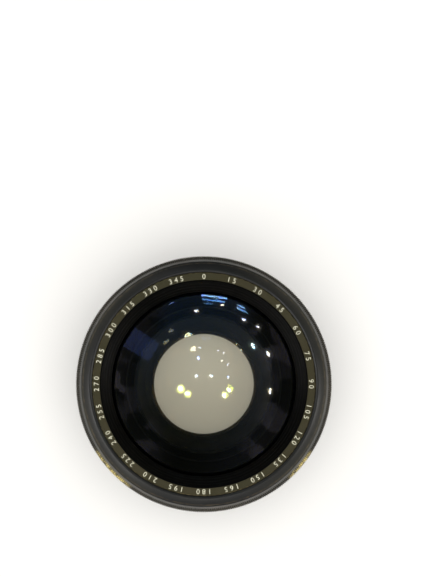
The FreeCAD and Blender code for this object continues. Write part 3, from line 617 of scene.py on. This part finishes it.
# The thread is one V-shaped ridge wound round the ring
def mountThread():
    pitch = mountSizes["pitch"]
    turns = (threadEnd - pitch) / pitch
    inside, outside = threadRoot - ridgeSizes["sunk"], threadCrest - ridgeSizes["crestGap"]
    shape = bmesh.new()
    corners = [shape.verts.new((radius * mm, 0, height * mm)) for radius, height in
               zip((inside, outside, outside, inside), ridgeSizes["heights"])]
    edges = [shape.edges.new((corners[k], corners[(k + 1) % 4])) for k in range(4)]
    steps = round(turns * ridgeSizes["stepsPerTurn"])
    bmesh.ops.spin(shape, geom=corners + edges, cent=(0, 0, 0), axis=(0, 0, 1), angle=2 * math.pi * turns,
                   steps=steps, dvec=(0, 0, pitch * mm * turns / steps), use_merge=False)
    bmesh.ops.holes_fill(shape, edges=[edge for edge in shape.edges if edge.is_boundary], sides=4)
    bmesh.ops.recalc_face_normals(shape, faces=shape.faces)
    return finishPiece("mountThread", shape, barrelBlack, (), 50)


mountRing()
mountThread()

print("inner parts")
insides = []
# the bore parts take the black with painted light, the front cell and spacer the black with painted shade
for node, finish in (("rear_cell", litBoreBlack), ("rear_spacer", litBoreBlack), ("rear_retaining_ring", ringBlack),
                     ("front_cell", shadedInnerBlack), ("front_spacer", shadedInnerBlack), ("baffle_tube", litBoreBlack),
                     ("spacing_shim", brass), ("mount_screws", screwSteel), ("grip_screws", screwSteel)):
    insides.append(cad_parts[node])
    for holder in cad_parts[node].material_slots:
        holder.material = finish

print("camera")
photoWidth, photoHeight = 433, 577
photoSizes = {"centreAcross": 203.9, "centreDown": 383.9, "openingRadius": 49.5, "pixelsPerMm": 2.77,
              "cameraHeight": 800.0}
sensorHeight = 36.0
focal = photoSizes["pixelsPerMm"] * photoSizes["cameraHeight"]
lensData = bpy.data.cameras.new("camera")
lensData.sensor_width = sensorHeight        # the longer side of the picture, which stands upright
lensData.lens = focal / photoHeight * sensorHeight
camera = bpy.data.objects.new("camera", lensData)
scene.collection.objects.link(camera)
scene.camera = camera
cameraPlace = Vector((0, 0, (rimFront + photoSizes["cameraHeight"]) * mm))


# Direction of a pixel, for a camera that looks straight down
def towards(across, down):
    return Vector((across - photoWidth / 2, photoHeight / 2 - down, -focal)).normalized()


# The camera stands on the axis and is aimed off it, so that the lens lies where the photo has it
aim = towards(photoSizes["centreAcross"], photoSizes["centreDown"])
camera.rotation_mode = "QUATERNION"
camera.rotation_quaternion = aim.rotation_difference(Vector((0, 0, -1)))
camera.location = cameraPlace

print("floor, lamps and surroundings")
floorSizes = {"radius": 1.5, "steps": 96}


def paleFloor():
    recipe = Recipe(bpy.data.materials.new("pale table"))
    cloud = recipe.noise(6.0, 3.0, 0.5)
    recipe.plug(recipe.mix(cloud, (0.88, 0.875, 0.86), (0.84, 0.835, 0.82)),
                recipe.shader.inputs["Base Color"])
    recipe.plug(recipe.bump(recipe.noise(900.0, 3.0, 0.6), 0.02), recipe.shader.inputs["Normal"])
    recipe.shader.inputs["Roughness"].default_value = 0.9
    recipe.shader.inputs["Specular IOR Level"].default_value = 0.0
    shape = bmesh.new()
    bmesh.ops.create_circle(shape, cap_ends=True, segments=floorSizes["steps"], radius=floorSizes["radius"])
    mesh = bpy.data.meshes.new("floor")
    shape.to_mesh(mesh)
    shape.free()
    mesh.materials.append(recipe.paint)
    floor = bpy.data.objects.new("floor", mesh)
    floor.visible_glossy = False            # the dark metal mirrors the room, not the table
    scene.collection.objects.link(floor)
    return floor


floor = paleFloor()
glass = [pieces[name] for name in ("domeGlass", "secondGlass", "rearDoublet", "rearSingle")]
frontRings = [pieces[name] for name in ("bezel", "dialRing", "dialFigures", "glassHolder")]


# A lamp can leave pieces out, or light some alone
def litPieces(name, chosen, state):
    group = bpy.data.collections.new(name)
    for piece in chosen:
        group.objects.link(piece)
    for held in group.collection_objects:
        held.light_linking.link_state = state
    return group


fromSides = litPieces("left out by the side lamps", glass + [floor], "EXCLUDE")
fromAbove = litPieces("left out by the overhead lamp", glass + frontRings + insides, "EXCLUDE")
domeOnly = litPieces("lit by the small lamps", [pieces["domeGlass"]], "INCLUDE")
floorOnly = litPieces("lit by the table lamp", [floor], "INCLUDE")


def lamp(name, place, target, size, power, colour, lit, shape="RECTANGLE", tall=None):
    light = bpy.data.lights.new(name, "AREA")
    light.shape = shape
    light.size = size
    light.size_y = tall or size
    light.energy = power
    light.color = colour
    holder = bpy.data.objects.new(name, light)
    holder.location = place
    holder.rotation_mode = "QUATERNION"
    holder.rotation_quaternion = (Vector(target) - Vector(place)).to_track_quat("-Z", "Y")
    holder.light_linking.receiver_collection = lit
    scene.collection.objects.link(holder)
    return holder


tableMiddle, lensMiddle = (0, 0, 0), (0, 0, 0.04)
lamp("overhead softbox", (0, -0.2, 1.6), tableMiddle, 1.6, 22.0, (1.0, 0.99, 0.97), fromAbove)
tableLamp = lamp("table lamp", (0, 0, 1.6), tableMiddle, 1.6, 11.0, (1.0, 0.99, 0.97), floorOnly)
tableLamp.data.use_shadow = False           # lifts the shadow round the lens, without hiding it
lamp("left softbox", (-0.75, -0.2, 0.45), lensMiddle, 0.5, 4.3, (1.0, 0.99, 0.98), fromSides)
lamp("right softbox", (0.75, -0.25, 0.42), lensMiddle, 0.45, 2.8, (1.0, 0.98, 0.96), fromSides)
lamp("near softbox", (0.05, -0.70, 0.42), lensMiddle, 0.5, 1.7, (1.0, 0.98, 0.92), fromSides)
lamp("left strip", (-0.58, -0.62, 0.30), lensMiddle, 0.10, 1.3, (1.0, 0.99, 0.97), fromSides, tall=0.5)
lamp("right strip", (0.80, -0.10, 0.30), lensMiddle, 0.10, 1.0, (1.0, 0.98, 0.95), fromSides, tall=0.5)
lamp("far strip", (-0.30, 0.80, 0.30), lensMiddle, 0.12, 0.4, (0.94, 0.97, 1.0), fromSides, tall=0.5)


# Where a lamp has to stand to be mirrored by the dome at that pixel of the picture, and that spot
def mirrored(across, down, distance):
    ray = camera.rotation_quaternion @ towards(across, down)
    centre = Vector((0, 0, (domeApex - glassSizes["domeFrontCurve"]) * mm))
    radius = glassSizes["domeFrontCurve"] * mm
    offset = cameraPlace - centre
    half = ray.dot(offset)
    reach = -half - math.sqrt(half ** 2 - offset.length_squared + radius ** 2)
    point = cameraPlace + ray * reach
    bounced = ray.reflect((point - centre).normalized())
    return point + bounced * distance, point


glintSizes = {"distance": 1.2, "stagger": 0.002, "stretch": 1.45, "power": 320}
glints = [  # pixels across and down, size, brightness, colour
    (196, 311, 0.038, 0.45, (1.0, 0.84, 0.50)),
    (222, 305, 0.028, 0.50, (1.0, 0.92, 0.76)),
    (244, 320, 0.036, 0.50, (1.0, 0.95, 0.84)),
    (258, 327, 0.034, 0.50, (1.0, 0.94, 0.80)),
    (237, 308, 0.020, 0.50, (0.85, 0.94, 1.0)),
    (253, 346, 0.050, 0.60, (0.72, 1.0, 0.90)),
    (268, 354, 0.040, 0.60, (1.0, 0.88, 0.55)),
    (270, 391, 0.044, 0.60, (1.0, 0.88, 0.55)),
    (188, 335, 0.064, 0.32, (1.0, 0.86, 0.34)),
    (193, 349, 0.060, 0.36, (1.0, 0.80, 0.34)),
    (171, 331, 0.045, 0.06, (0.75, 0.70, 0.45)),
    (166, 342, 0.050, 0.08, (0.90, 0.75, 0.30)),
    (237, 344, 0.024, 0.40, (1.0, 0.78, 0.25)),
    (241, 350, 0.020, 0.35, (1.0, 0.78, 0.30)),
    (198, 358, 0.026, 0.45, (1.0, 0.94, 0.80)),
    (200, 348, 0.020, 0.35, (1.0, 0.94, 0.80)),
    (221, 361, 0.024, 0.40, (1.0, 0.97, 0.80)),
    (228, 364, 0.024, 0.40, (1.0, 0.97, 0.80)),
    (218, 351, 0.020, 0.30, (1.0, 0.97, 0.85)),
    (224, 353, 0.020, 0.30, (1.0, 0.97, 0.85)),
    (196, 376, 0.028, 0.50, (1.0, 0.96, 0.74)),
    (211, 376, 0.032, 0.50, (1.0, 0.97, 0.68)),
    (228, 377, 0.025, 0.45, (1.0, 0.96, 0.74)),
    (181, 389, 0.092, 0.26, (1.0, 0.92, 0.05)),
    (188, 394, 0.078, 0.26, (1.0, 0.92, 0.05)),
    (230, 389, 0.078, 0.24, (1.0, 0.92, 0.05)),
    (225, 395, 0.078, 0.26, (1.0, 0.92, 0.05)),
    (180.6, 388.6, 0.050, 0.50, (1.0, 1.0, 0.86)),
    (187.6, 393.6, 0.042, 0.50, (1.0, 1.0, 0.86)),
    (229, 390, 0.042, 0.50, (1.0, 1.0, 0.86)),
    (224.4, 395.4, 0.042, 0.50, (1.0, 1.0, 0.86)),
]
for number, (across, down, size, bright, colour) in enumerate(glints):
    distance = glintSizes["distance"] - glintSizes["stagger"] * number      # the white cores stand in front
    place, point = mirrored(across, down, distance)
    fromCentre = math.hypot(across - photoSizes["centreAcross"], down - photoSizes["centreDown"])
    outside = fromCentre > photoSizes["openingRadius"]
    stretch = glintSizes["stretch"] if outside else 1.0     # long bulbs, lying round the axis
    bulb = lamp(f"glint {number}", place, point, size * stretch, bright * glintSizes["power"] * size ** 2,
                colour, domeOnly, shape="ELLIPSE", tall=size / stretch)
    bulb.visible_transmission = False       # mirrored once, by the outer face alone

windowSizes = {"distance": 1.2, "power": 12}
windows = [  # pixels across and down, width, height, brightness, colour
    (214, 296.5, 0.28, 0.022, 7.0, (0.50, 0.86, 1.0)),
    (214, 300.5, 0.24, 0.020, 4.5, (0.20, 0.56, 1.0)),
    (209, 304, 0.08, 0.014, 3.0, (0.30, 0.62, 1.0)),
    (241, 306.5, 0.08, 0.020, 6.5, (0.42, 0.78, 1.0)),
    (243, 310.5, 0.10, 0.018, 4.5, (0.25, 0.62, 1.0)),
    (171, 303, 0.05, 0.014, 3.0, (0.45, 0.62, 1.0)),
    (206, 338.5, 0.11, 0.035, 0.5, (0.72, 0.84, 1.0)),
    (139, 343, 0.24, 0.44, 0.28, (0.28, 0.40, 0.72)),
]
for number, (across, down, wide, tall, bright, colour) in enumerate(windows):
    place, point = mirrored(across, down, windowSizes["distance"])
    pane = lamp(f"window {number}", place, point, wide, bright * wide * tall * windowSizes["power"], colour,
                domeOnly, tall=tall)
    pane.visible_transmission = False

roomColours = {
    "nearAir": (0.07, 0.075, 0.04), "farAir": (0.15, 0.26, 0.28), "rightAir": (0.30, 0.33, 0.27),
    "horizon": (0.03, 0.035, 0.035), "darkWood": (0.10, 0.11, 0.065), "paleWood": (0.90, 0.80, 0.60),
    "ambient": (1.0, 0.99, 0.97), "backdrop": (0.60, 0.59, 0.57),
}


# The room as the lens mirrors it: bluish towards the far side, dim brown furniture round the horizon
def mirroredRoom(recipe):
    x, y, height = recipe.split(recipe.place)
    air = recipe.mix(recipe.ramp(y, -0.45, 0.75), roomColours["nearAir"], roomColours["farAir"])
    air = recipe.mix(recipe.math("MULTIPLY", recipe.ramp(x, -0.2, 0.7), 0.6), air, roomColours["rightAir"])
    air = recipe.mix(recipe.ramp(height, 0.0, 0.6), roomColours["horizon"], air)
    blocks = recipe.nodes.new("ShaderNodeTexVoronoi")
    blocks.distance = "CHEBYCHEV"
    blocks.inputs["Scale"].default_value = 5.5
    recipe.plug(recipe.place, blocks.inputs["Vector"])
    shade = recipe.math("POWER", recipe.split(blocks.outputs["Color"])[0], 3.0)
    furniture = recipe.mix(shade, roomColours["darkWood"], roomColours["paleWood"])
    low = recipe.ramp(height, 0.86, 0.74)
    aside = recipe.ramp(recipe.math("ABSOLUTE", x), 0.25, 0.5)
    return recipe.mix(recipe.math("MULTIPLY", low, aside), air, furniture)


def sky(recipe, colour, strength=1.0):
    node = recipe.nodes.new("ShaderNodeBackground")
    recipe.plug(colour, node.inputs["Color"])
    node.inputs["Strength"].default_value = strength
    return node.outputs[0]


room = Recipe(bpy.data.worlds.new("room"), "Generated")
scene.world = room.paint
seen = room.forRays("Is Glossy Ray", sky(room, roomColours["ambient"], 0.32), sky(room, mirroredRoom(room)))
seen = room.forRays("Is Camera Ray", seen, sky(room, roomColours["backdrop"]))
room.plug(seen, room.nodes["World Output"].inputs["Surface"])

scene.view_settings.view_transform = "Standard"
scene.cycles.use_denoising = True
scene.cycles.max_bounces = 20               # light crosses eight glass faces, twice
scene.cycles.transmission_bounces = 20
scene.cycles.transparent_max_bounces = 24
scene.cycles.caustics_reflective = False
scene.cycles.caustics_refractive = False

print("done")
